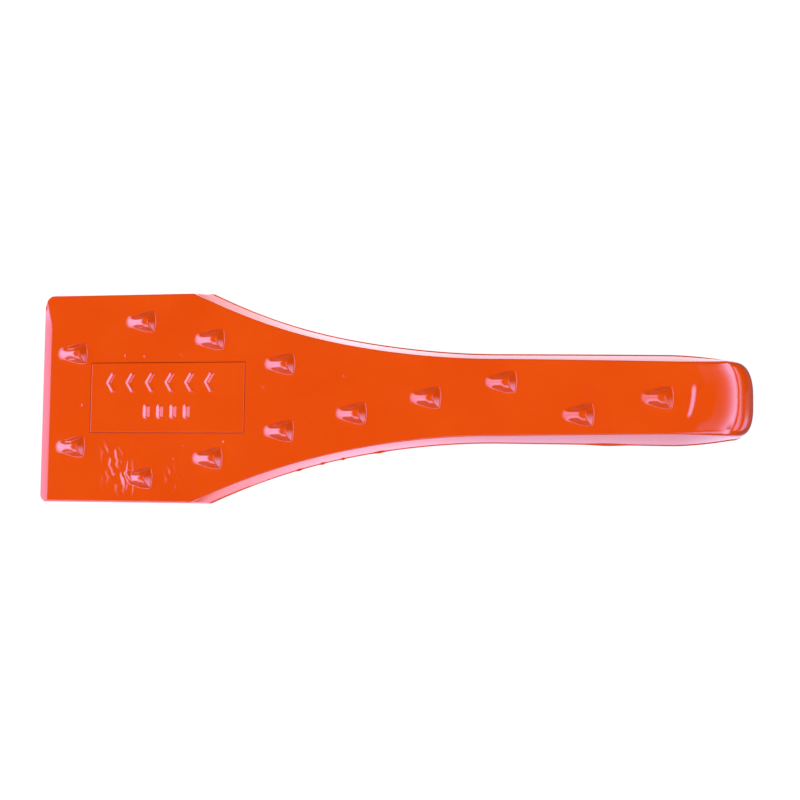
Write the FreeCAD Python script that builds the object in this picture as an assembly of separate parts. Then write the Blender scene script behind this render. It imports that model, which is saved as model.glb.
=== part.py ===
import FreeCAD, Part
import math
import os

# Felling wedge, in millimetres. While it is being drawn, x runs from the thin
# tip (x = 0) to the heel (x = LENGTH), y runs across the blade and z runs up
# from the flat underside. The finished pieces are moved so that the origin is
# the middle of the underside.

os.makedirs("parts", exist_ok=True)

# ---- driving dimensions ------------------------------------------------------
LENGTH = 240.0
BLADE_WIDTH = 72.0
HANDLE_WIDTH = 30.0
TIP_THICKNESS = 3.0           # where the top face would meet the tip, unbevelled
WEDGE_ANGLE = 6.4             # between the underside and the top face, degrees

# The outline is widest at the seam, half way up. The walls lean in from there
# to the top and bottom faces, so most plan sizes come in a seam and a face value.
FLARE_END = 160.0             # the flare runs into the straight handle here
SEAM_SHOULDER = 61.8          # shoulder between blade and flare
FACE_SHOULDER = 55.0
FACE_BLADE_HALF = 35.8        # half width across the blade
FACE_HANDLE_HALF = 12.8       # half width at the end of the flare
HEEL_START = 215.0            # the handle starts to narrow to the heel here
FACE_HEEL_HALF = 11.8         # half width at the start of the heel
SEAM_CORNER_HALF = 13.6       # half width where the heel corner starts
FACE_CORNER_HALF = 11.9
SEAM_CORNER_LEAN = 9.5        # direction of the side at that point, degrees
FACE_CORNER_LEAN = 1.5
HEEL_CORNER_RADIUS = 5.0
HEEL_END_RADIUS = 38.0        # the end is slightly bowed
TIP_CORNER_RADIUS = 2.4
EDGE_RADIUS = 0.9             # round the underside

TIP_BEVEL_LENGTH = 3.0
TIP_BEVEL_DROP = 0.6

LIP_START = 222.0             # the top face starts to turn up here
LIP_CREST = 234.8
LIP_RISE = 5.7                # height of the crest over the face at LIP_START
LIP_OUTER_RADIUS = 5.0

BARB_PITCH = 24.87
FIRST_BARB = 11.0
BLADE_BARB_PAIRS = ((15.4, -17.0), (26.2, -27.6), (19.8, -20.7), (11.2, -11.4))
HANDLE_BARB_OFFSETS = (-5.5, -0.3, 4.8, -5.7, 0.0)
BARB_LENGTH = 10.4            # from the nose to the foot of the cut face
BARB_HEIGHT = 2.2
BARB_AXIS_DEPTH = 2.2         # the cone axis lies this far below the face
BARB_RAMP = 0.36              # cone radius gained per millimetre of length
BARB_CUT_ANGLE = 42.0         # the cut face, against the top face

BADGE_START = 18.0
BADGE_LENGTH = 55.4
BADGE_WIDTH = 24.0
BADGE_THICKNESS = 1.2
BADGE_CORNER = 0.6
BADGE_GAP = 0.15
CHEVRON_COUNT = 6
CHEVRON_PITCH = 7.1
CHEVRON_HEIGHT = 7.0
CHEVRON_STROKE = 2.2
CHEVRON_LEAN = 0.6            # run along the badge for each millimetre of half height
CHEVRON_ROW = 5.2             # the row lies this far to the +y side of the badge's middle
CHEVRON_SHIFT = -2.8          # and this far along it, towards the tip
PIP_COUNT = 4
PIP_PITCH = 4.8
PIP_WIDTH = 2.6
PIP_LENGTH = 5.4
PIP_ROW = -4.8
MARK_RISE = 0.4

SLOPE = math.tan(math.radians(WEDGE_ANGLE))
REACH = 60.0                  # half width of cutting tools, wider than the blade
OVERSHOOT = 1.5               # the upper blank rises to this many times its height


def top_z(x):
    """Height of the top face."""
    return TIP_THICKNESS + x * SLOPE


def vec(x, y, z=0.0):
    return FreeCAD.Vector(x, y, z)


def arc_through(centre, radius, start_angle, end_angle):
    """Arc in the plan plane between two directions seen from its centre, in degrees."""
    angles = [start_angle, (start_angle + end_angle) / 2.0, end_angle]
    points = []
    for angle in angles:
        turn = math.radians(angle)
        points.append(centre + vec(math.cos(turn), math.sin(turn)) * radius)
    return Part.Arc(points[0], points[1], points[2]).toShape()


def side_edges(sizes):
    """The +y side of the plan outline, tip to heel: corner, blade, flare, handle, taper, corner."""
    shoulder, blade_half, handle_half, heel_half, corner_half, corner_lean = sizes
    taper = math.atan2(handle_half - heel_half, HEEL_START - FLARE_END)
    outward = vec(math.sin(taper), math.cos(taper))
    flare_end = vec(FLARE_END, handle_half)
    across = vec(shoulder, blade_half) - flare_end
    flare_radius = across.Length ** 2 / (2.0 * across.dot(outward))
    flare_centre = flare_end + outward * flare_radius
    back = vec(shoulder, blade_half) - flare_centre
    shoulder_angle = math.degrees(math.atan2(back.y, back.x))

    tip_centre = vec(TIP_CORNER_RADIUS, blade_half - TIP_CORNER_RADIUS)
    tip_corner = arc_through(tip_centre, TIP_CORNER_RADIUS, 180.0, 90.0)
    flare = arc_through(flare_centre, flare_radius, shoulder_angle, -90.0 - math.degrees(taper))

    end_angle = heel_end_angle(corner_half, corner_lean)
    corner_centre = heel_end_centre() + vec(
        math.cos(math.radians(end_angle)), math.sin(math.radians(end_angle)),
    ) * (HEEL_END_RADIUS - HEEL_CORNER_RADIUS)
    heel_corner = arc_through(corner_centre, HEEL_CORNER_RADIUS, 90.0 - corner_lean, end_angle)

    blade_side = Part.makeLine(tip_corner.Vertexes[1].Point, flare.Vertexes[0].Point)
    heel_start = vec(HEEL_START, heel_half)
    handle_side = Part.makeLine(flare.Vertexes[1].Point, heel_start)
    corner_start = heel_corner.Vertexes[0].Point
    bow = (corner_start - heel_start).Length * math.tan(math.radians(corner_lean) / 4.0) / 2.0
    taper_side = Part.Arc(heel_start, (heel_start + corner_start) * 0.5 + vec(0.0, bow), corner_start)
    return [tip_corner, blade_side, flare, handle_side, taper_side.toShape(), heel_corner]


def heel_end_centre():
    return vec(LENGTH - HEEL_END_RADIUS, 0.0)


def heel_end_angle(corner_half, corner_lean):
    """Half the angle that the bowed end takes up between the two heel corners, in degrees."""
    reach = corner_half - HEEL_CORNER_RADIUS * math.cos(math.radians(corner_lean))
    return math.degrees(math.asin(reach / (HEEL_END_RADIUS - HEEL_CORNER_RADIUS)))


def plan_wire(sizes):
    """Closed outline of the wedge seen from above."""
    left = side_edges(sizes)
    right = [edge.mirror(vec(0.0, 0.0), vec(0.0, 1.0)) for edge in left]
    end_angle = heel_end_angle(sizes[4], sizes[5])
    heel_end = arc_through(heel_end_centre(), HEEL_END_RADIUS, end_angle, -end_angle)
    tip_point = left[0].Vertexes[0].Point
    tip_line = Part.makeLine(vec(tip_point.x, -tip_point.y), tip_point)
    return Part.Wire(left + [heel_end] + right[::-1] + [tip_line])


SEAM_SIZES = (
    SEAM_SHOULDER, BLADE_WIDTH / 2.0, HANDLE_WIDTH / 2.0, HANDLE_WIDTH / 2.0,
    SEAM_CORNER_HALF, SEAM_CORNER_LEAN,
)
FACE_SIZES = (
    FACE_SHOULDER, FACE_BLADE_HALF, FACE_HANDLE_HALF, FACE_HEEL_HALF,
    FACE_CORNER_HALF, FACE_CORNER_LEAN,
)


def on_slope(wire, height, slope):
    """Lift a flat wire on to the plane z = height + slope * x."""
    lift = FreeCAD.Matrix()
    lift.A31 = slope
    lift.A34 = height
    return wire.transformGeometry(lift)


def seam_wire():
    """Widest outline, half way up the thickness."""
    return on_slope(plan_wire(SEAM_SIZES), TIP_THICKNESS / 2.0, SLOPE / 2.0)


def drafted_wire(factor, height, slope):
    """The outline the leaning walls reach at factor times the way from seam to face."""
    sizes = []
    for seam_value, face_value in zip(SEAM_SIZES, FACE_SIZES):
        sizes.append(seam_value + (face_value - seam_value) * factor)
    return on_slope(plan_wire(sizes), height, slope)


def slab(points, half_width):
    """Solid with the given x, z outline, extruded evenly to both sides of y = 0."""
    corners = [vec(x, -half_width, z) for x, z in points]
    face = Part.Face(Part.makePolygon(corners + corners[:1]))
    return face.extrude(vec(0.0, 2.0 * half_width, 0.0))


def space_over_top():
    """Everything above the top face, the scooped heel and the lip crest."""
    crest_z = top_z(LIP_START) + LIP_RISE
    run = LIP_CREST - LIP_START
    # The scoop leaves the face tangentially, so its middle sits below the chord.
    start = vec(LIP_START, -REACH, top_z(LIP_START))
    crest = vec(LIP_CREST, -REACH, crest_z)
    chord_angle = math.atan2(LIP_RISE, run)
    half_turn = chord_angle - math.radians(WEDGE_ANGLE)
    sagitta = math.hypot(run, LIP_RISE) / 2.0 * math.tan(half_turn / 2.0)
    middle = (start + crest) * 0.5
    middle = middle + vec(math.sin(chord_angle), 0.0, -math.cos(chord_angle)) * sagitta
    bend = LIP_OUTER_RADIUS
    land_end = vec(LENGTH - bend, -REACH, crest_z)
    bend_middle = land_end + vec(bend * math.sqrt(0.5), 0.0, bend * (math.sqrt(0.5) - 1.0))
    bend_end = land_end + vec(bend, 0.0, -bend)
    ceiling = 3.0 * crest_z
    before = vec(-REACH, -REACH, top_z(-REACH))
    after = bend_end + vec(REACH, 0.0, 0.0)
    after_top = vec(after.x, -REACH, ceiling)
    before_top = vec(-REACH, -REACH, ceiling)
    edges = [
        Part.makeLine(before, start),
        Part.Arc(start, middle, crest).toShape(),
        Part.makeLine(crest, land_end),
        Part.Arc(land_end, bend_middle, bend_end).toShape(),
        Part.makeLine(bend_end, after),
        Part.makeLine(after, after_top),
        Part.makeLine(after_top, before_top),
        Part.makeLine(before_top, before),
    ]
    return Part.Face(Part.Wire(edges)).extrude(vec(0.0, 2.0 * REACH, 0.0))


def space_over_bevel():
    """Wedge of space that takes the sharp corner off the tip."""
    return slab([
        (-1.0, top_z(0.0) - TIP_BEVEL_DROP - TIP_BEVEL_DROP / TIP_BEVEL_LENGTH),
        (TIP_BEVEL_LENGTH, top_z(TIP_BEVEL_LENGTH)),
        (-1.0, top_z(TIP_BEVEL_LENGTH) + 1.0),
    ], REACH)


def on_face(shape, x, y):
    """Put a shape drawn on the plane z = 0 on to the top face at x, y."""
    placed = shape.copy()
    placed.rotate(vec(0.0, 0.0), vec(0.0, 1.0), -WEDGE_ANGLE)
    placed.translate(vec(x, y, top_z(x)))
    return placed


def barb():
    """Half-cone ramp with a small flat top and a steep cut face towards the heel."""
    nose_x = -BARB_LENGTH / 2.0
    foot_x = BARB_LENGTH / 2.0
    sink = 0.4
    start_radius = 0.5
    start_x = nose_x - (BARB_AXIS_DEPTH - start_radius) / BARB_RAMP
    end_radius = start_radius + BARB_RAMP * (foot_x - start_x)
    cone = Part.makeCone(
        start_radius, end_radius, foot_x - start_x,
        vec(start_x, 0.0, -BARB_AXIS_DEPTH), vec(1.0, 0.0),
    )
    lean = math.tan(math.radians(BARB_CUT_ANGLE))
    keep = slab([
        (start_x - 1.0, -sink),
        (foot_x + sink / lean, -sink),
        (foot_x - BARB_HEIGHT / lean, BARB_HEIGHT),
        (start_x - 1.0, BARB_HEIGHT),
    ], REACH)
    return cone.common(keep)


def all_barbs():
    """Paired barbs over the blade, then a zigzag of single ones down the handle."""
    shape = barb()
    placed = []
    for index, pair in enumerate(BLADE_BARB_PAIRS):
        for offset in pair:
            placed.append(on_face(shape, FIRST_BARB + index * BARB_PITCH, offset))
    first_single = FIRST_BARB + len(BLADE_BARB_PAIRS) * BARB_PITCH
    for index, offset in enumerate(HANDLE_BARB_OFFSETS):
        placed.append(on_face(shape, first_single + index * BARB_PITCH, offset))
    return placed


def badge_block(gap, thickness):
    """Rounded plate lying just under z = 0, centred on the origin."""
    length = BADGE_LENGTH + 2.0 * gap
    width = BADGE_WIDTH + 2.0 * gap
    block = Part.makeBox(length, width, thickness, vec(-length / 2.0, -width / 2.0, -thickness))
    upright = [e for e in block.Edges if abs(e.tangentAt(e.FirstParameter).z) > 0.99]
    return block.makeFillet(BADGE_CORNER + gap, upright)


def chevron(x):
    """Raised plain chevron that points to the tip."""
    half = CHEVRON_HEIGHT / 2.0
    end = x + CHEVRON_LEAN * half
    outline = [
        vec(x, 0.0), vec(end, half), vec(end + CHEVRON_STROKE, half),
        vec(x + CHEVRON_STROKE, 0.0), vec(end + CHEVRON_STROKE, -half), vec(end, -half),
    ]
    face = Part.Face(Part.makePolygon(outline + outline[:1]))
    return face.extrude(vec(0.0, 0.0, MARK_RISE))


def pip(x, y):
    """Raised plain oval, longer across the blade."""
    straight = PIP_LENGTH - PIP_WIDTH
    mark = Part.makeBox(PIP_WIDTH, straight, MARK_RISE, vec(x - PIP_WIDTH / 2.0, y - straight / 2.0))
    ends = []
    for side in (-1.0, 1.0):
        ends.append(Part.makeCylinder(PIP_WIDTH / 2.0, MARK_RISE, vec(x, y + side * straight / 2.0)))
    return mark.fuse(ends).removeSplitter()


def badge_plate():
    """Inset plate with plain raised marks: a row of chevrons beside a row of ovals."""
    plate = badge_block(0.0, BADGE_THICKNESS)
    marks = []
    row_half = (CHEVRON_COUNT - 1) * CHEVRON_PITCH / 2.0
    for index in range(CHEVRON_COUNT):
        mark = chevron(index * CHEVRON_PITCH - row_half - CHEVRON_HEIGHT / 4.0)
        mark.translate(vec(CHEVRON_SHIFT, CHEVRON_ROW))
        marks.append(mark)
    pips_half = (PIP_COUNT - 1) * PIP_PITCH / 2.0
    for index in range(PIP_COUNT):
        marks.append(pip(index * PIP_PITCH - pips_half, PIP_ROW))
    plate = plate.fuse(marks).removeSplitter()
    return on_face(plate, BADGE_START + BADGE_LENGTH / 2.0, 0.0)


def underside_edges(shape):
    """Every edge that lies in the plane z = 0."""
    chosen = []
    for edge in shape.Edges:
        if all(abs(point.z) < 1e-4 for point in edge.discretize(5)):
            chosen.append(edge)
    return chosen


def upper_shell():
    """Upper moulding: drafted walls, top face, tip bevel, heel lip and barbs."""
    rise = (OVERSHOOT + 1.0) * TIP_THICKNESS / 2.0
    steep = (OVERSHOOT + 1.0) * SLOPE / 2.0
    body = Part.makeLoft([seam_wire(), drafted_wire(OVERSHOOT, rise, steep)], True, True)
    body = body.cut(space_over_top()).cut(space_over_bevel())
    body = body.fuse(all_barbs())
    pocket = on_face(badge_block(BADGE_GAP, BADGE_THICKNESS), BADGE_START + BADGE_LENGTH / 2.0, 0.0)
    return body.cut(pocket)


def lower_shell():
    """Lower moulding: drafted walls down to the flat underside."""
    body = Part.makeLoft([drafted_wire(1.0, 0.0, 0.0), seam_wire()], True, True)
    return body.makeFillet(EDGE_RADIUS, underside_edges(body))


def save(name, shape):
    solid = shape.Solids[0]
    assert len(shape.Solids) == 1, name
    assert solid.isValid(), name
    solid.translate(vec(-LENGTH / 2.0, 0.0))
    solid.exportStep("parts/" + name + ".step")
    box = solid.BoundBox
    print(name, "volume %.0f mm3" % solid.Volume, "faces", len(solid.Faces))
    print("   x %.2f %.2f  y %.2f %.2f  z %.2f %.2f" % (
        box.XMin, box.XMax, box.YMin, box.YMax, box.ZMin, box.ZMax))


save("upper_shell", upper_shell())
save("lower_shell", lower_shell())
save("badge_plate", badge_plate())
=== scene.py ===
import math

import bmesh
import bpy
import numpy as np
from mathutils import Matrix, Vector


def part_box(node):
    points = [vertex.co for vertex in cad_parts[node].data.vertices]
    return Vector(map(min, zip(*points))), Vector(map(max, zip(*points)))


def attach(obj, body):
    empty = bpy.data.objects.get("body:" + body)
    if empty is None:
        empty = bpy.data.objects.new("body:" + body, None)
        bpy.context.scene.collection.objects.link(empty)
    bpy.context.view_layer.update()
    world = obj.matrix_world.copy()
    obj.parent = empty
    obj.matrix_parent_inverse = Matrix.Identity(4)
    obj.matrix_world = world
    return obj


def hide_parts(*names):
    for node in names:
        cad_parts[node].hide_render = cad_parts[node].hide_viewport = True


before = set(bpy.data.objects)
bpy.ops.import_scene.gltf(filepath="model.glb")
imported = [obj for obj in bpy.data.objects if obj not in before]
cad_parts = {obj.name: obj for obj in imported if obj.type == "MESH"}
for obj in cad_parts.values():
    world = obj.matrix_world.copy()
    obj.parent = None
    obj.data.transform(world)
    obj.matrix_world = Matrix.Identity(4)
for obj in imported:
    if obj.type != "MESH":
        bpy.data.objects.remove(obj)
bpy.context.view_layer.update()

MM = 0.001

# ---- sizes, in millimetres, x counted from the tip ---------------------------
upper_low, upper_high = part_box("upper_shell")
TIP_X = upper_low.x / MM
LENGTH = (upper_high.x - upper_low.x) / MM
BLADE_HALF = upper_high.y / MM

TIP_THICKNESS = 3.0
WEDGE_ANGLE = math.radians(6.4)
SLOPE = math.tan(WEDGE_ANGLE)

BLADE_LEAN = 0.2              # the walls lean in by this much along the blade
FLARE_END = 160.0             # the flare is an arc from the shoulder to here
SEAM_SHOULDER = 61.8
FACE_SHOULDER = 55.0
LEFT_WAIST = (0.85, 0.55)             # how far it is drawn in beside the arc: seam, face
RIGHT_WAIST = (0.4, 0.1)
WAIST_X = 88.0
WAIST_REACH = 30.0
LEFT_HANDLE = (15.0, 12.5, 11.7)      # half widths: seam, face, face at the heel
RIGHT_HANDLE = (14.85, 12.8, 11.6)
EDGE_RADIUS = 0.6             # between the faces and the walls
HEEL_EDGE_RADIUS = 2.2
BEND_START = 120.0            # the handle bends slightly to the -y side from here
BEND = 0.95

# The tip corners have worn differently: length along the blade, then across it.
LEFT_TIP_CORNER = (3.1, 4.4)
RIGHT_TIP_CORNER = (1.8, 1.8)
BEVEL_LENGTH = 2.9
BEVEL_DROP = 0.6
BEVEL_POWER = 1.1
BEVEL_FADE = (24.0, 35.0)             # the bevel shortens between these distances to the +y side
BEVEL_SHORTENING = 0.75

TAPER_START = 215.0           # the handle narrows towards the heel from here
LEFT_TAPER = (1.75, 0.1)              # at the seam, at the face
RIGHT_TAPER = (2.2, -0.6)
TAPER_POWER = 1.7
HEEL_BOW = 5.4                # how far the end stands out in the middle
LEFT_SQUARENESS = 3.0         # how sharply the bowed end turns into the side
RIGHT_SQUARENESS = 4.2
HEEL_ROUND_START = LENGTH - HEEL_BOW

LIP_START = 222.0             # the scoop leaves the face here
LIP_CREST = 234.8
LIP_RISE = 5.7
LIP_CURL = 0.18               # share of the rise that comes in the last curl to the crest
LIP_CURL_POWER = 8
LIP_WRAP = 3.8                # the crest lies this much further from the end at the sides
LIP_WRAP_POWER = 2.6
LIP_START_BLEND = 0.28        # share of the scoop's length over which it leaves the face
LIP_CREST_BLEND = 0.5
LIP_OUTER_RADIUS = 5.2

SEAM_CHAMFER = 0.24           # depth of the groove on each side of the seam
SEAM_CHAMFER_HEIGHT = 0.16
SEAM_LAND = 0.03              # half height of the thin ridge left at the seam
FIN_DEPTH = 0.26
FINS = ((92.0, 0.9), (100.0, 0.7), (107.0, 0.6), (119.5, 1.6), (195.0, 5.0))     # middle, reach
WALL_FULLNESS = 0.012         # bulge of a wall for each millimetre of its height

BARB_PITCH = 24.87
FIRST_BARB = 11.0
BLADE_BARB_PAIRS = ((15.4, -17.0), (26.2, -27.6), (19.8, -20.7), (11.2, -11.4))
HANDLE_BARB_OFFSETS = (-5.5, -0.3, 4.8, -5.7, 0.0)
BARB_LENGTH = 10.4
BARB_HEIGHT = 2.2
BARB_RAMP = 0.37              # slope of the ridge up to the level part
BARB_FALL = (0.085, 0.23, 0.18)         # how fast it falls away sideways: nose, ramp, level part
BARB_CUT = math.tan(math.radians(42.0))
BARB_CUT_BOW = 0.045
BARB_NOSE = (0.4, 3.4)        # the nose turns into the ramp between these distances
BARB_RIDGE_BLEND = 0.2
BARB_CUT_BLEND = 0.25
BARB_FILLET = 0.35            # height over which a barb runs out into the face

BADGE_START = 18.0
BADGE_END = 73.4
BADGE_HALF = 12.0
BADGE_GAP = 0.15
BADGE_DEPTH = 1.2

HEEL_STEP_X = 220.6           # low curved step just before the scoop
HEEL_STEP_HEIGHT = 0.6
HEEL_STEP_BOW = 0.02

DENT_PITCH = 2.6
DENT_DEPTH = 0.3
DENT_PATCHES = (              # middle x and y, reach along x and y, strength
    (30.5, -27.0, 6.5, 6.0, 1.0),
    (26.5, -19.0, 3.5, 4.0, 1.0),
    (48.5, -27.5, 2.6, 5.0, 0.9),
)
WAVE_HEIGHT = 0.03            # broad waves over the whole face
SPECK_HEIGHT = 0.2
SPECK_RADIUS = 0.35
SPECKS = (
    (30.5, 14.5), (37.5, 14.2), (51.0, 14.6), (80.0, 3.5), (52.5, -16.5), (49.0, -21.0),
    (66.5, -15.0), (96.0, -9.0), (15.0, -2.5), (108.0, 7.0), (152.0, -6.0), (176.0, 3.0),
)

# ---- spacing of the mesh, in millimetres --------------------------------------
WALL_ROWS = 12
TIP_STATIONS = (0.0, 0.03, 0.08, 0.16, 0.26, 0.38, 0.52, 0.68, 0.86, 1.06)
TIP_SPACING = 0.2
BARB_SPACING = 0.22
CUT_SPACING = 0.12            # over the cut face of a barb
PLAIN_SPACING = 0.4
HEEL_SPACING = 0.25
BARB_REACH = 5.8              # a barb's stations start this far before its middle
CUT_START = 1.8
CUT_END = 6.0
EDGE_COLUMNS = np.array([1.0, 0.8, 0.62, 0.47, 0.34, 0.23, 0.14, 0.07, 0.02, 0.0])
BADGE_RIM = (0.0, 0.03, 0.08, 0.15, 0.24)
BADGE_STEP = 0.16
FIT_GAP = 0.02                # keeps faces of neighbouring pieces apart


def smooth_step(low, high, value):
    """0 up to low, 1 from high, smooth in between."""
    t = np.clip((value - low) / (high - low), 0.0, 1.0)
    return t * t * (3.0 - 2.0 * t)


def soft_min(a, b, blend):
    """The smaller of a and b, rounded where they are closer than blend."""
    near = np.maximum(1.0 - np.abs(a - b) / blend, 0.0)
    return np.minimum(a, b) - 0.25 * blend * near ** 2


def face_z(x):
    """Height of the plain top face."""
    return TIP_THICKNESS + x * SLOPE


def seam_z(x):
    """Height of the seam, half way up."""
    return face_z(x) / 2.0


def tip_corner(x, side):
    """How far the outline has pulled in at x, round the tip corner on one side."""
    length, width = LEFT_TIP_CORNER if side > 0 else RIGHT_TIP_CORNER
    t = np.clip((length - x) / length, 0.0, 1.0)
    return width * (1.0 - np.sqrt(1.0 - t * t))


def flare_waist(x, lift, side):
    """The flare is drawn in a little beside a true arc, more on the +y side."""
    seam_depth, face_depth = LEFT_WAIST if side > 0 else RIGHT_WAIST
    depth = seam_depth + (face_depth - seam_depth) * lift
    return depth * np.exp(-((x - WAIST_X) / WAIST_REACH) ** 2)


def half_width(x, lift, side):
    """Half width of the plan at x. lift is 0 at the seam and 1 at the faces."""
    lift = np.minimum(lift, 1.0)
    seam_half, face_half, heel_half = LEFT_HANDLE if side > 0 else RIGHT_HANDLE
    blade = BLADE_HALF - BLADE_LEAN * lift
    shoulder = SEAM_SHOULDER + (FACE_SHOULDER - SEAM_SHOULDER) * lift
    start_half = seam_half + (face_half - seam_half) * lift
    end_half = seam_half + (heel_half - seam_half) * lift
    run = FLARE_END - shoulder
    fall = blade - start_half
    radius = (run * run + fall * fall) / (2.0 * fall)
    reach = np.clip(FLARE_END - x, 0.0, run + 8.0)
    flare = start_half + radius - np.sqrt(radius ** 2 - reach ** 2)
    flare = flare - flare_waist(x, lift, side)
    along = np.clip((x - FLARE_END) / (TAPER_START - FLARE_END), 0.0, 1.0)
    handle = start_half + (end_half - start_half) * along
    seam_taper, face_taper = LEFT_TAPER if side > 0 else RIGHT_TAPER
    taper = seam_taper + (face_taper - seam_taper) * lift
    t = np.clip((x - TAPER_START) / (HEEL_ROUND_START - TAPER_START), 0.0, 1.0)
    handle = handle - taper * t ** TAPER_POWER
    bow = np.clip((x - HEEL_ROUND_START) / HEEL_BOW, 0.0, 1.0)
    squareness = LEFT_SQUARENESS if side > 0 else RIGHT_SQUARENESS
    handle = handle * (1.0 - bow * bow) ** (1.0 / squareness)
    half = np.minimum(flare, blade - tip_corner(x, side))
    return np.where(x > FLARE_END, handle, half)


def end_distance(x, y):
    """Distance along x from a point to the bowed end of the heel."""
    left = half_width(HEEL_ROUND_START, 1.0, 1.0)
    right = half_width(HEEL_ROUND_START, 1.0, -1.0)
    half = np.where(y > 0.0, left, right)
    squareness = np.where(y > 0.0, LEFT_SQUARENESS, RIGHT_SQUARENESS)
    across = np.clip(np.abs(y) / half, 0.0, 1.0)
    return HEEL_ROUND_START + HEEL_BOW * np.sqrt(1.0 - across ** squareness) - x


def edge_drop(distance, radius, draft):
    """How far a rounded edge has dropped at a distance in from the side."""
    width = radius * np.cos(draft)
    inside = np.clip(width - distance, 0.0, width)
    return radius - np.sqrt(np.maximum(radius ** 2 - inside ** 2, 0.0))


def heel_z(x, y):
    """Top of the scooped heel: it rises to a crest, then rounds over into the end."""
    across = np.clip(np.abs(y) / LEFT_HANDLE[2], 0.0, 1.0)
    crest_x = LIP_CREST - LIP_WRAP * across ** LIP_WRAP_POWER
    t = np.minimum(1.0 - (crest_x - x) / (LIP_CREST - LIP_START), 1.2)
    ramp = -soft_min(-t, 0.0, LIP_START_BLEND)
    crest_z = face_z(LIP_START) + LIP_RISE
    shape = (1.0 - LIP_CURL) * ramp + LIP_CURL * np.maximum(t, 0.0) ** LIP_CURL_POWER
    rise = face_z(x) + (crest_z - face_z(LIP_CREST)) * shape
    outside = crest_z - edge_drop(end_distance(x, y), LIP_OUTER_RADIUS, 0.0)
    return soft_min(rise, outside, LIP_CREST_BLEND)


def barb_height(u, w):
    """Ramp with a round nose, a level ridge and a steep cut face towards the heel."""
    nose_fall, ramp_fall, level_fall = BARB_FALL
    foot = BARB_LENGTH / 2.0
    run = u + foot
    fall = nose_fall + (ramp_fall - nose_fall) * smooth_step(BARB_NOSE[0], BARB_NOSE[1], run)
    ramp = BARB_RAMP * run - fall * w ** 2
    level = BARB_HEIGHT - level_fall * w ** 2
    body = soft_min(ramp, level, BARB_RIDGE_BLEND)
    cut = (foot - u - BARB_CUT_BOW * w ** 2) * BARB_CUT
    body = soft_min(body, cut, BARB_CUT_BLEND)
    return -soft_min(-body, 0.0, BARB_FILLET)


def barb_places():
    """Middles of the barbs: pairs on the blade, then single ones along the handle."""
    places = []
    for index, pair in enumerate(BLADE_BARB_PAIRS):
        for offset in pair:
            places.append((FIRST_BARB + index * BARB_PITCH, offset))
    first = FIRST_BARB + len(BLADE_BARB_PAIRS) * BARB_PITCH
    for index, offset in enumerate(HANDLE_BARB_OFFSETS):
        places.append((first + index * BARB_PITCH, offset))
    return places


def bump_at(x, y, centre_x, centre_y, reach_x, reach_y):
    """Smooth hump between 0 and 1 round a point."""
    return np.exp(-((x - centre_x) / reach_x) ** 2 - ((y - centre_y) / reach_y) ** 2)


def moulding_ripple(x, y):
    """Shallow waves left by the moulding, and a dented patch at one edge of the blade."""
    patch = np.zeros_like(y)
    for centre_x, centre_y, reach_x, reach_y, strength in DENT_PATCHES:
        patch = patch + strength * bump_at(x, y, centre_x, centre_y, reach_x, reach_y)
    bend = (x + 0.3 * y + 0.4 * np.sin(y * 0.8 + 0.3 * x) + 0.15 * np.sin(2.1 * y)) / DENT_PITCH
    phase = bend - np.floor(bend)
    dent = smooth_step(0.0, 0.55, phase) * (1.0 - smooth_step(0.6, 1.0, phase))
    broken = smooth_step(-0.6, 0.2, np.sin(y * 0.5 - 0.9 * x) + 0.6 * np.sin(0.45 * y + 1.9 * x))
    broad = np.sin(x * 0.11 + 0.7) * np.cos(y * 0.13 + 0.4)
    return DENT_DEPTH * np.minimum(patch, 1.0) * dent * broken + WAVE_HEIGHT * broad


def specks(x, y):
    """A few tiny raised flecks on the face."""
    height = np.zeros_like(y)
    for speck_x, speck_y in SPECKS:
        if abs(x - speck_x) < 1.5:
            spot = bump_at(x, y, speck_x, speck_y, SPECK_RADIUS, SPECK_RADIUS)
            height = height + SPECK_HEIGHT * spot
    return height


def heel_step(x, y):
    """Low curved step across the face just before the scoop."""
    start = HEEL_STEP_X - HEEL_STEP_BOW * (y - 3.0) ** 2
    rise = smooth_step(0.0, 2.0, x - start) * (1.0 - smooth_step(2.0, 8.0, x - start))
    return HEEL_STEP_HEIGHT * rise * (1.0 - smooth_step(3.5, 6.8, np.abs(y + 1.2)))


def seam_flash(x, sign):
    """Thin fins that squeezed out along the seam, on the -y side only."""
    if sign > 0:
        return 0.0
    return sum(FIN_DEPTH * math.exp(-((x - centre) / reach) ** 2) for centre, reach in FINS)


def x_stations():
    """Stations along the wedge: close together at the tip, over the barbs and round the heel."""
    stations = list(TIP_STATIONS)
    stations += list(np.arange(1.25, FIRST_BARB - BARB_REACH, TIP_SPACING))
    count = len(BLADE_BARB_PAIRS) + len(HANDLE_BARB_OFFSETS)
    for index in range(count):
        centre = FIRST_BARB + index * BARB_PITCH
        stations += list(np.arange(centre - BARB_REACH, centre + CUT_START, BARB_SPACING))
        stations += list(np.arange(centre + CUT_START, centre + CUT_END, CUT_SPACING))
        if index < count - 1:
            next_start = centre + BARB_PITCH - BARB_REACH
            stations += list(np.arange(centre + CUT_END, next_start, PLAIN_SPACING))
    last = FIRST_BARB + (count - 1) * BARB_PITCH + CUT_END
    stations += list(np.arange(last, HEEL_ROUND_START - 0.1, HEEL_SPACING))
    for along in np.linspace(0.0, 0.72, 28):
        stations.append(HEEL_ROUND_START + HEEL_BOW * along)
    for across in np.linspace(0.78, 0.05, 34):
        stations.append(HEEL_ROUND_START + HEEL_BOW * math.sqrt(1.0 - across ** 3))
    return np.array(sorted(stations))


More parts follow.
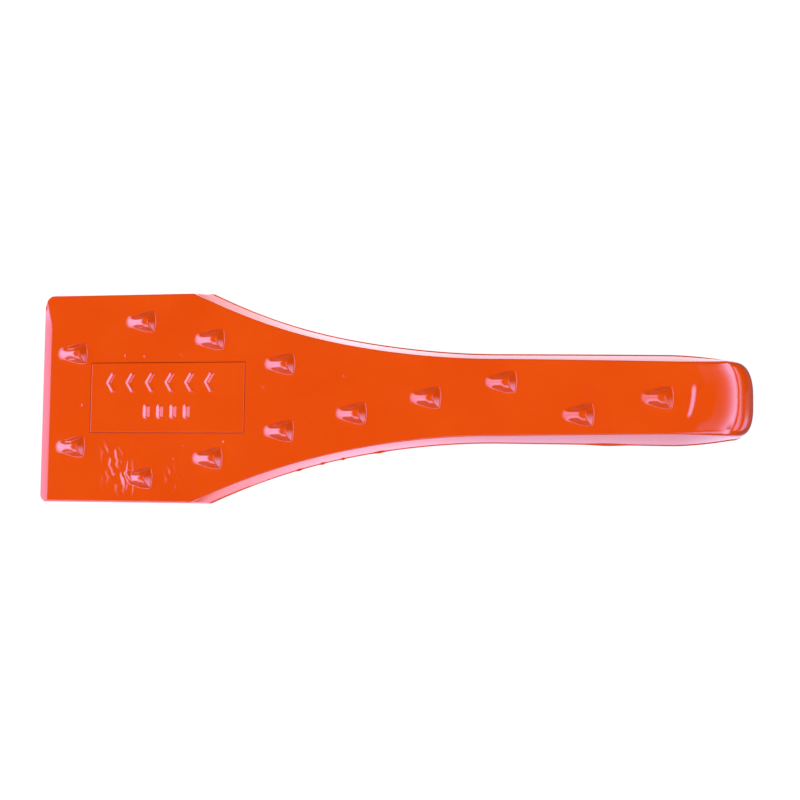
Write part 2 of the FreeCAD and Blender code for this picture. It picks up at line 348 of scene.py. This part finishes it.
def with_badge_edges(stations):
    """Adds a close pair of stations at both ends of the badge pocket."""
    keep = []
    edges = (BADGE_START - BADGE_GAP, BADGE_END + BADGE_GAP)
    for x in stations:
        if all(abs(x - edge) > 0.06 for edge in edges):
            keep.append(x)
    for edge in edges:
        keep += [edge - 0.01, edge + 0.01]
    return np.array(sorted(keep))


def columns(left_half, right_half):
    """y values over the top face for one station, from -right_half to +left_half."""
    sides = []
    for half in (left_half, right_half):
        full = max(half, 8.0)
        band = min(BADGE_HALF + BADGE_GAP, 0.62 * full)
        inner = np.linspace(0.0, 1.0, 49) * band
        outer = np.linspace(band + 0.02, full - 1.2, 92)
        sides.append(np.concatenate([inner, outer, full - EDGE_COLUMNS]) * (half / full))
    return np.concatenate([-sides[1][:0:-1], sides[0]])


def in_badge(x, y):
    """Whether a point of the face lies in the badge pocket."""
    inside_x = (x > BADGE_START - BADGE_GAP) & (x < BADGE_END + BADGE_GAP)
    return inside_x & (np.abs(y) < BADGE_HALF + BADGE_GAP + 0.01)


def tip_bevel(x, y):
    """Drop of the rounded bevel along the tip. It runs out towards the worn corner."""
    shortening = BEVEL_SHORTENING * smooth_step(BEVEL_FADE[0], BEVEL_FADE[1], y)
    length = BEVEL_LENGTH * (1.0 - shortening)
    return BEVEL_DROP * np.clip(1.0 - x / length, 0.0, 1.0) ** BEVEL_POWER


def upper_section(x):
    """One row of points at station x, over the top from the -y edge to the +y edge."""
    base = seam_z(x)
    plain = face_z(x)
    left = float(half_width(x, 1.0, 1.0))
    right = float(half_width(x, 1.0, -1.0))
    y = columns(left, right)
    xs = np.full_like(y, x)
    z = heel_z(xs, y)
    half = np.where(y > 0.0, left, right)
    seam_half = float(half_width(x, 0.0, 1.0))
    draft = math.atan2(seam_half - left, max(plain - base, 0.5))
    heel = float(smooth_step(LIP_START - 10.0, LIP_CREST - 4.0, x))
    radius = EDGE_RADIUS + (HEEL_EDGE_RADIUS - EDGE_RADIUS) * heel
    z = z - edge_drop(half - np.abs(y), radius, draft)
    for centre_x, centre_y in barb_places():
        if abs(x - centre_x) < BARB_LENGTH:
            z = z + barb_height(xs - centre_x, y - centre_y) / math.cos(WEDGE_ANGLE)
    calm = smooth_step(0.0, 3.0, half - np.abs(y)) * smooth_step(0.0, 6.0, x)
    z = z + (moulding_ripple(xs, y) + specks(x, y)) * calm + heel_step(xs, y)
    z = z - tip_bevel(xs, y)
    z = np.where(in_badge(xs, y), plain - BADGE_DEPTH, z)
    return y, np.maximum(z, base + FIT_GAP)


def seam_inset(x, sign, depth):
    """x and y shift that moves a point of the seam outline inwards by depth."""
    step = 0.01
    slope = float(half_width(x, 0.0, sign) - half_width(x - step, 0.0, sign)) / step
    size = math.hypot(1.0, slope)
    return depth * slope / size, -depth / size


def wall_points(x, edge_y, edge_z, seam_height, sign):
    """Drafted wall, slightly full in the middle, with a small chamfer at the seam."""
    seam_y = float(half_width(x, 0.0, sign))
    ridge_y = seam_y + seam_flash(x, sign)
    inset_x, inset_y = seam_inset(x, sign, SEAM_CHAMFER)
    fullness = WALL_FULLNESS * abs(edge_z - seam_height) * min(1.0, (seam_y - abs(edge_y)) / 2.0)
    down = np.arange(1, WALL_ROWS) / WALL_ROWS
    ys = half_width(x, 1.0 - down, sign) + inset_y * down + 4.0 * fullness * down * (1.0 - down)
    rows = []
    for t, y in zip(down, ys):
        rows.append((x, sign * float(y), edge_z + (seam_height - edge_z) * float(t)))
    side = 1.0 if edge_z > seam_height else -1.0
    step = min(SEAM_CHAMFER_HEIGHT, 0.3 * abs(edge_z - seam_height))
    rows[-1] = (x + inset_x, sign * (seam_y + inset_y), seam_height + side * step)
    rows.append((x, sign * ridge_y, seam_height + side * SEAM_LAND))
    rows.append((x, sign * ridge_y, seam_height))
    return rows


def placed(point):
    """Frame position, in metres, of a point given in millimetres from the tip."""
    x, y, z = point
    bend = BEND * max(0.0, (x - BEND_START) / (LENGTH - BEND_START)) ** 2
    return ((x + TIP_X) * MM, (y - bend) * MM, z * MM)


def mesh_from_loops(name, loops, material):
    """Skins a list of equally long closed loops into one smooth object."""
    mesh = bpy.data.meshes.new(name)
    points = []
    faces = []
    size = len(loops[0])
    for loop in loops:
        points.extend(loop)
    for i in range(len(loops) - 1):
        for j in range(size):
            k = (j + 1) % size
            faces.append((i * size + j, (i + 1) * size + j, (i + 1) * size + k, i * size + k))
    mesh.from_pydata([placed(point) for point in points], [], faces)
    tidy = bmesh.new()
    tidy.from_mesh(mesh)
    bmesh.ops.remove_doubles(tidy, verts=tidy.verts, dist=2e-6)
    bmesh.ops.dissolve_degenerate(tidy, edges=tidy.edges, dist=1e-6)
    bmesh.ops.recalc_face_normals(tidy, faces=tidy.faces)
    for face in tidy.faces:
        face.smooth = True
    tidy.to_mesh(mesh)
    tidy.free()
    mesh.set_sharp_from_angle(angle=math.radians(38.0))
    piece = bpy.data.objects.new(name, mesh)
    bpy.context.scene.collection.objects.link(piece)
    mesh.materials.append(material)
    return piece


def loop_of(x, y, z):
    """Closed loop: seam, wall, face, wall, seam and back under along the seam plane."""
    right = wall_points(x, y[0], z[0], seam_z(x), -1.0)[::-1]
    left = wall_points(x, y[-1], z[-1], seam_z(x), 1.0)
    face = [(x, float(a), float(b)) for a, b in zip(y, z)]
    return right + face + left


def skin(name, section, stations, material):
    """Joins the loops of all stations and closes the tip and the heel on the seam plane."""
    loops = []
    for x in stations:
        y, z = section(float(x))
        loops.append(loop_of(float(x), y, z))
    first = [(p[0], p[1], seam_z(0.0)) for p in loops[0]]
    seam = seam_z(LENGTH)
    end = max(p[0] for p in loops[-1])
    closing = []
    for x, reach in (
        (end, 1.6 * SEAM_CHAMFER_HEIGHT), (end - SEAM_CHAMFER, SEAM_CHAMFER_HEIGHT),
        (end, SEAM_LAND), (end, 0.0),
    ):
        closing.append([(x, p[1], min(max(p[2], seam - reach), seam + reach)) for p in loops[-1]])
    return mesh_from_loops(name, [first] + loops + closing, material)


def lower_section(x):
    """One row of points at station x along the underside."""
    base = seam_z(x)
    left = float(half_width(x, 1.0, 1.0))
    right = float(half_width(x, 1.0, -1.0))
    y = columns(left, right)[::3]
    y[-1] = left
    half = np.where(y > 0.0, left, right)
    distance = np.minimum(half - np.abs(y), end_distance(np.full_like(y, x), y))
    distance = np.minimum(distance, x + 0.35)
    radius = min(EDGE_RADIUS, 0.75 * base)
    wave = 0.02 * np.sin(x * 0.09) * np.cos(y * 0.11)
    z = edge_drop(distance, radius, 0.0) + FIT_GAP + wave
    return y, np.minimum(z, base - FIT_GAP)


# ---- badge -------------------------------------------------------------------
CHEVRON_COUNT = 6
CHEVRON_PITCH = 7.1
CHEVRON_HALF = 3.5
CHEVRON_STROKE = 2.2
CHEVRON_LEAN = 0.6            # run along the badge for each millimetre of half height
CHEVRON_ROW = (-2.8, 5.2)     # middle of the row from the middle of the badge
PIP_COUNT = 4
PIP_PITCH = 4.8
PIP_RADIUS = 1.3
PIP_STRAIGHT = 2.8
PIP_ROW = (0.0, -4.8)
MARK_RISE = 0.6
MARK_SLOPE = 0.37             # the marks are ridges with sloping sides
RIM_RADIUS = 0.24
PLATE_RISE = 0.06             # the plate stands this much above the face


def mark_height(u, w):
    """Raised plain marks: a row of chevrons that point to the tip and a row of ovals."""
    height = np.zeros_like(u)
    lean_size = math.hypot(1.0, CHEVRON_LEAN)
    row_half = (CHEVRON_COUNT - 1) * CHEVRON_PITCH / 2.0
    for index in range(CHEVRON_COUNT):
        start = CHEVRON_ROW[0] + index * CHEVRON_PITCH - row_half - CHEVRON_HALF / 2.0
        v = np.abs(w - CHEVRON_ROW[1])
        front = start + CHEVRON_LEAN * v
        inside = soft_min(u - front, front + CHEVRON_STROKE - u, 0.3) / lean_size
        inside = np.minimum(inside, CHEVRON_HALF - v)
        height = np.maximum(height, MARK_SLOPE * inside)
    pips_half = (PIP_COUNT - 1) * PIP_PITCH / 2.0
    for index in range(PIP_COUNT):
        centre = PIP_ROW[0] + index * PIP_PITCH - pips_half
        v = np.maximum(np.abs(w - PIP_ROW[1]) - PIP_STRAIGHT / 2.0, 0.0)
        inside = PIP_RADIUS - np.hypot(u - centre, v)
        height = np.maximum(height, MARK_SLOPE * inside)
    return np.minimum(height, MARK_RISE)


def badge_skin(material):
    """The inset plate, with a rounded rim and the raised marks."""
    half_length = (BADGE_END - BADGE_START) / 2.0

    def spaced(half):
        inner = np.arange(-half + 0.4, half - 0.39, BADGE_STEP)
        low = np.array([-half + r for r in BADGE_RIM])
        return np.concatenate([low, inner, -low[::-1]])

    us = spaced(half_length)
    loops = []
    centre = BADGE_START + half_length
    for u in us:
        x = centre + u
        w = spaced(BADGE_HALF)
        uu = np.full_like(w, u)
        inside = np.minimum(half_length - abs(u), BADGE_HALF - np.abs(w))
        z = face_z(x) + PLATE_RISE + moulding_ripple(np.full_like(w, x), w) + mark_height(uu, w)
        z = z - edge_drop(inside, RIM_RADIUS, 0.0)
        top = [(x, float(a), float(b)) for a, b in zip(w, z)]
        floor = face_z(x) - BADGE_DEPTH + FIT_GAP
        loops.append([(x, -BADGE_HALF, floor)] + top + [(x, BADGE_HALF, floor)])
    floor_first = [(p[0], p[1], face_z(p[0]) - BADGE_DEPTH + FIT_GAP) for p in loops[0]]
    floor_last = [(p[0], p[1], face_z(p[0]) - BADGE_DEPTH + FIT_GAP) for p in loops[-1]]
    return mesh_from_loops("badge", [floor_first] + loops + [floor_last], material)


# ---- materials ---------------------------------------------------------------
def new_material(name):
    """Empty node material: the material, its nodes, its links and its shader."""
    material = bpy.data.materials.new(name)
    material.use_nodes = True
    nodes = material.node_tree.nodes
    shader = nodes["Principled BSDF"]
    return material, nodes, material.node_tree.links, shader


def orange_plastic(name):
    """Glossy moulded plastic: faint clouding, fine grain and a few rubbed patches."""
    material, nodes, links, shader = new_material(name)
    coords = nodes.new("ShaderNodeTexCoord")
    cloud = nodes.new("ShaderNodeTexNoise")
    cloud.inputs["Scale"].default_value = 38.0
    cloud.inputs["Detail"].default_value = 4.0
    links.new(coords.outputs["Object"], cloud.inputs["Vector"])
    ramp = nodes.new("ShaderNodeValToRGB")
    ramp.color_ramp.elements[0].position = 0.3
    ramp.color_ramp.elements[1].position = 0.7
    ramp.color_ramp.elements[0].color = (0.82, 0.068, 0.0006, 1.0)
    ramp.color_ramp.elements[1].color = (0.86, 0.080, 0.0010, 1.0)
    links.new(cloud.outputs["Fac"], ramp.inputs["Fac"])
    links.new(ramp.outputs["Color"], shader.inputs["Base Color"])
    rub = nodes.new("ShaderNodeTexNoise")
    rub.inputs["Scale"].default_value = 160.0
    rub.inputs["Detail"].default_value = 6.0
    links.new(coords.outputs["Object"], rub.inputs["Vector"])
    gloss = nodes.new("ShaderNodeMapRange")
    gloss.inputs["From Min"].default_value = 0.35
    gloss.inputs["From Max"].default_value = 0.75
    gloss.inputs["To Min"].default_value = 0.07
    gloss.inputs["To Max"].default_value = 0.13
    links.new(rub.outputs["Fac"], gloss.inputs["Value"])
    links.new(gloss.outputs["Result"], shader.inputs["Roughness"])
    grain = nodes.new("ShaderNodeTexNoise")
    grain.inputs["Scale"].default_value = 900.0
    grain.inputs["Detail"].default_value = 3.0
    links.new(coords.outputs["Object"], grain.inputs["Vector"])
    bump = nodes.new("ShaderNodeBump")
    bump.inputs["Strength"].default_value = 0.05
    bump.inputs["Distance"].default_value = 0.00008
    links.new(grain.outputs["Fac"], bump.inputs["Height"])
    links.new(bump.outputs["Normal"], shader.inputs["Normal"])
    shader.inputs["IOR"].default_value = 1.6
    shader.inputs["Coat Weight"].default_value = 1.0
    shader.inputs["Coat IOR"].default_value = 1.8
    shader.inputs["Coat Roughness"].default_value = 0.05
    return material


def value_node(nodes, links, operation, first, second=0.0):
    """One arithmetic node. Each input is a socket or a number."""
    node = nodes.new("ShaderNodeMath")
    node.operation = operation
    for index, source in enumerate((first, second)):
        if isinstance(source, (int, float)):
            node.inputs[index].default_value = source
        else:
            links.new(source, node.inputs[index])
    return node.outputs[0]


def fade(nodes, links, source, start, end):
    """0 at start and 1 at end, smooth in between. start may be the larger one."""
    node = nodes.new("ShaderNodeMapRange")
    node.interpolation_type = "SMOOTHSTEP"
    node.inputs["From Min"].default_value = min(start, end)
    node.inputs["From Max"].default_value = max(start, end)
    node.inputs["To Min"].default_value = 0.0 if start < end else 1.0
    node.inputs["To Max"].default_value = 1.0 if start < end else 0.0
    links.new(source, node.inputs["Value"])
    return node.outputs["Result"]


def floor_material():
    """White sheet lit from behind. It can be looked through from below."""
    material, nodes, links, shader = new_material("floor_white")
    shader.inputs["Base Color"].default_value = (0.05, 0.05, 0.05, 1.0)
    shader.inputs["Roughness"].default_value = 0.9
    shader.inputs["Specular IOR Level"].default_value = 0.0
    coords = nodes.new("ShaderNodeTexCoord")
    split = nodes.new("ShaderNodeSeparateXYZ")
    links.new(coords.outputs["Object"], split.inputs[0])
    side = nodes.new("ShaderNodeMix")
    side.data_type = "RGBA"
    links.new(fade(nodes, links, split.outputs[1], -0.01, 0.01), side.inputs["Factor"])
    side.inputs[6].default_value = RIGHT_GLOW
    side.inputs[7].default_value = LEFT_GLOW
    beside_blade = fade(nodes, links, split.outputs[0], 0.04, -0.02)
    beyond_heel = fade(nodes, links, split.outputs[0], 0.135, 0.12)
    level = value_node(nodes, links, "MULTIPLY", beside_blade, BLADE_GLOW_GAIN - 1.0)
    level = value_node(nodes, links, "ADD", level, 1.0)
    dimmed = value_node(nodes, links, "MAXIMUM", beyond_heel, HEEL_GLOW)
    level = value_node(nodes, links, "MULTIPLY", level, dimmed)
    aside = value_node(nodes, links, "ABSOLUTE", split.outputs[1])
    level = value_node(nodes, links, "MULTIPLY", level, fade(nodes, links, aside, 0.07, 0.048))
    scaled = nodes.new("ShaderNodeVectorMath")
    scaled.operation = "SCALE"
    links.new(side.outputs[2], scaled.inputs[0])
    links.new(level, scaled.inputs["Scale"])
    path = nodes.new("ShaderNodeLightPath")
    glow = nodes.new("ShaderNodeMix")
    glow.data_type = "RGBA"
    links.new(path.outputs["Is Camera Ray"], glow.inputs["Factor"])
    links.new(scaled.outputs["Vector"], glow.inputs[6])
    glow.inputs[7].default_value = FLOOR_SEEN
    links.new(glow.outputs[2], shader.inputs["Emission Color"])
    shader.inputs["Emission Strength"].default_value = 1.0
    clear = nodes.new("ShaderNodeBsdfTransparent")
    mix = nodes.new("ShaderNodeMixShader")
    geometry = nodes.new("ShaderNodeNewGeometry")
    through = value_node(nodes, links, "GREATER_THAN", path.outputs["Transparent Depth"], 0.5)
    either = value_node(nodes, links, "MAXIMUM", geometry.outputs["Backfacing"], through)
    links.new(either, mix.inputs["Fac"])
    links.new(shader.outputs["BSDF"], mix.inputs[1])
    links.new(clear.outputs["BSDF"], mix.inputs[2])
    links.new(mix.outputs["Shader"], nodes["Material Output"].inputs["Surface"])
    material.cycles.emission_sampling = "NONE"
    return material


# ---- stage -------------------------------------------------------------------
# Each panel's zenith and bearing ranges are start, full, full, end in degrees.
RIGHT_GLOW = (1.0, 0.66, 0.95, 1.0)   # light from the floor on the -y side
LEFT_GLOW = (1.1, 0.78, 0.9, 1.0)
FLOOR_SEEN = (0.97, 0.97, 0.97, 1.0)
BLADE_GLOW_GAIN = 1.8
HEEL_GLOW = 0.12              # share of the glow left beyond the heel
LIGHT_TINT = (0.45, 0.54, 1.0)
TENT_BASE = 0.01
LEFT_PANEL = 4.1
LEFT_WIDE = ((34.0, 72.0, 56.0, 74.0), (-95.0, -70.0, 28.0, 48.0))
LEFT_TALL = ((34.0, 70.0, 71.0, 84.0), (-46.0, -30.0, 22.0, 38.0))
RIGHT_PANEL = 2.2
RIGHT_AREA = ((3.0, 8.0, 14.0, 42.0), (-80.0, -60.0, 50.0, 75.0))
CUT_PANEL = 2.4
CUT_AREA = ((50.0, 62.0, 80.0, 92.0), (-50.0, -26.0, -8.0, 8.0))
HORIZON = 0.6
UNDER_LIGHT = (0.9, 0.88, 0.85, 1.0)
OVERHEAD = 2.62
FLOOR_HALF = 6.0              # metres
FLOOR_DROP = 0.0004
LENS = 66.7
CAMERA_PLACE = (59.8, -35.2, 502.7)   # millimetres
CAMERA_TARGET = (6.8, -0.9, 15.0)
CAMERA_ROLL = 0.74


def floor_piece():
    """Large white sheet just below the wedge."""
    mesh = bpy.data.meshes.new("floor")
    size = FLOOR_HALF
    drop = -FLOOR_DROP
    corners = [(-size, -size, drop), (size, -size, drop), (size, size, drop), (-size, size, drop)]
    mesh.from_pydata(corners, [], [(0, 1, 2, 3)])
    floor = bpy.data.objects.new("floor", mesh)
    bpy.context.scene.collection.objects.link(floor)
    mesh.materials.append(floor_material())


def panel(nodes, links, zenith, bearing, area):
    """Soft-edged bright panel over an area of zenith and bearing."""
    parts = []
    for angle, limits in zip((zenith, bearing), area):
        parts.append(fade(nodes, links, angle, limits[0], limits[1]))
        parts.append(fade(nodes, links, angle, limits[3], limits[2]))
    product = parts[0]
    for part in parts[1:]:
        product = value_node(nodes, links, "MULTIPLY", product, part)
    return product


def light_tent():
    """Dark above, with bright panels to the tip side and the heel side and a bright rim."""
    world = bpy.data.worlds.new("tent")
    bpy.context.scene.world = world
    world.use_nodes = True
    nodes = world.node_tree.nodes
    links = world.node_tree.links
    coords = nodes.new("ShaderNodeTexCoord")
    split = nodes.new("ShaderNodeSeparateXYZ")
    links.new(coords.outputs["Generated"], split.inputs[0])
    x, y, z = split.outputs[0], split.outputs[1], split.outputs[2]
    zenith = value_node(nodes, links, "DEGREES", value_node(nodes, links, "ARCCOSINE", z))
    back_x = value_node(nodes, links, "MULTIPLY", x, -1.0)
    from_tip = value_node(nodes, links, "DEGREES", value_node(nodes, links, "ARCTAN2", y, back_x))
    from_heel = value_node(nodes, links, "DEGREES", value_node(nodes, links, "ARCTAN2", y, x))
    wide = panel(nodes, links, zenith, from_tip, LEFT_WIDE)
    tall = panel(nodes, links, zenith, from_tip, LEFT_TALL)
    left = value_node(nodes, links, "MAXIMUM", wide, tall)
    right = panel(nodes, links, zenith, from_heel, RIGHT_AREA)
    cut = panel(nodes, links, zenith, from_heel, CUT_AREA)
    rim = fade(nodes, links, zenith, 82.0, 92.0)
    areas = ((left, LEFT_PANEL), (right, RIGHT_PANEL), (cut, CUT_PANEL), (rim, HORIZON))
    total = TENT_BASE
    for area, strength in areas:
        light = value_node(nodes, links, "MULTIPLY", area, strength)
        total = value_node(nodes, links, "ADD", total, light)
    tinted = nodes.new("ShaderNodeVectorMath")
    tinted.operation = "SCALE"
    tinted.inputs[0].default_value = LIGHT_TINT
    links.new(total, tinted.inputs["Scale"])
    below = nodes.new("ShaderNodeMix")
    below.data_type = "RGBA"
    links.new(fade(nodes, links, zenith, 94.0, 104.0), below.inputs["Factor"])
    links.new(tinted.outputs["Vector"], below.inputs[6])
    below.inputs[7].default_value = UNDER_LIGHT
    path = nodes.new("ShaderNodeLightPath")
    seen = nodes.new("ShaderNodeMix")
    seen.data_type = "RGBA"
    links.new(path.outputs["Is Camera Ray"], seen.inputs["Factor"])
    links.new(below.outputs[2], seen.inputs[6])
    seen.inputs[7].default_value = (1.0, 1.0, 1.0, 1.0)
    links.new(seen.outputs[2], nodes["Background"].inputs["Color"])


def overhead_light():
    """Wide soft light from straight above that leaves no highlight."""
    data = bpy.data.lights.new("overhead", "SUN")
    data.energy = OVERHEAD
    data.angle = math.radians(110.0)
    lamp = bpy.data.objects.new("overhead", data)
    lamp.visible_glossy = False
    bpy.context.scene.collection.objects.link(lamp)


def camera():
    """Looks down from the photograph's angle."""
    data = bpy.data.cameras.new("camera")
    data.sensor_width = 36.0
    data.lens = LENS
    piece = bpy.data.objects.new("camera", data)
    bpy.context.scene.collection.objects.link(piece)
    target = Vector(CAMERA_TARGET) * MM
    place = Vector(CAMERA_PLACE) * MM
    back = (place - target).normalized()
    right = Vector((0.0, 1.0, 0.0)).cross(back).normalized()
    up = back.cross(right)
    turn = Matrix((right, up, back)).transposed()
    roll = Matrix.Rotation(math.radians(CAMERA_ROLL), 3, "Z")
    piece.matrix_world = Matrix.Translation(place) @ (turn @ roll).to_4x4()
    data.clip_start = 0.01
    data.clip_end = 50.0
    bpy.context.scene.camera = piece
    bpy.context.scene.view_settings.view_transform = "Standard"


shell_material = orange_plastic("orange_plastic")
badge_material = orange_plastic("badge_plastic")

upper_stations = with_badge_edges(x_stations())
shown = (
    (skin("upper_skin", upper_section, upper_stations, shell_material), "upper_shell"),
    (skin("lower_skin", lower_section, x_stations(), shell_material), "lower_shell"),
    (badge_skin(badge_material), "badge_plate"),
)
for piece, node in shown:
    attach(piece, "root")
    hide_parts(node)

floor_piece()
light_tent()
overhead_light()
camera()
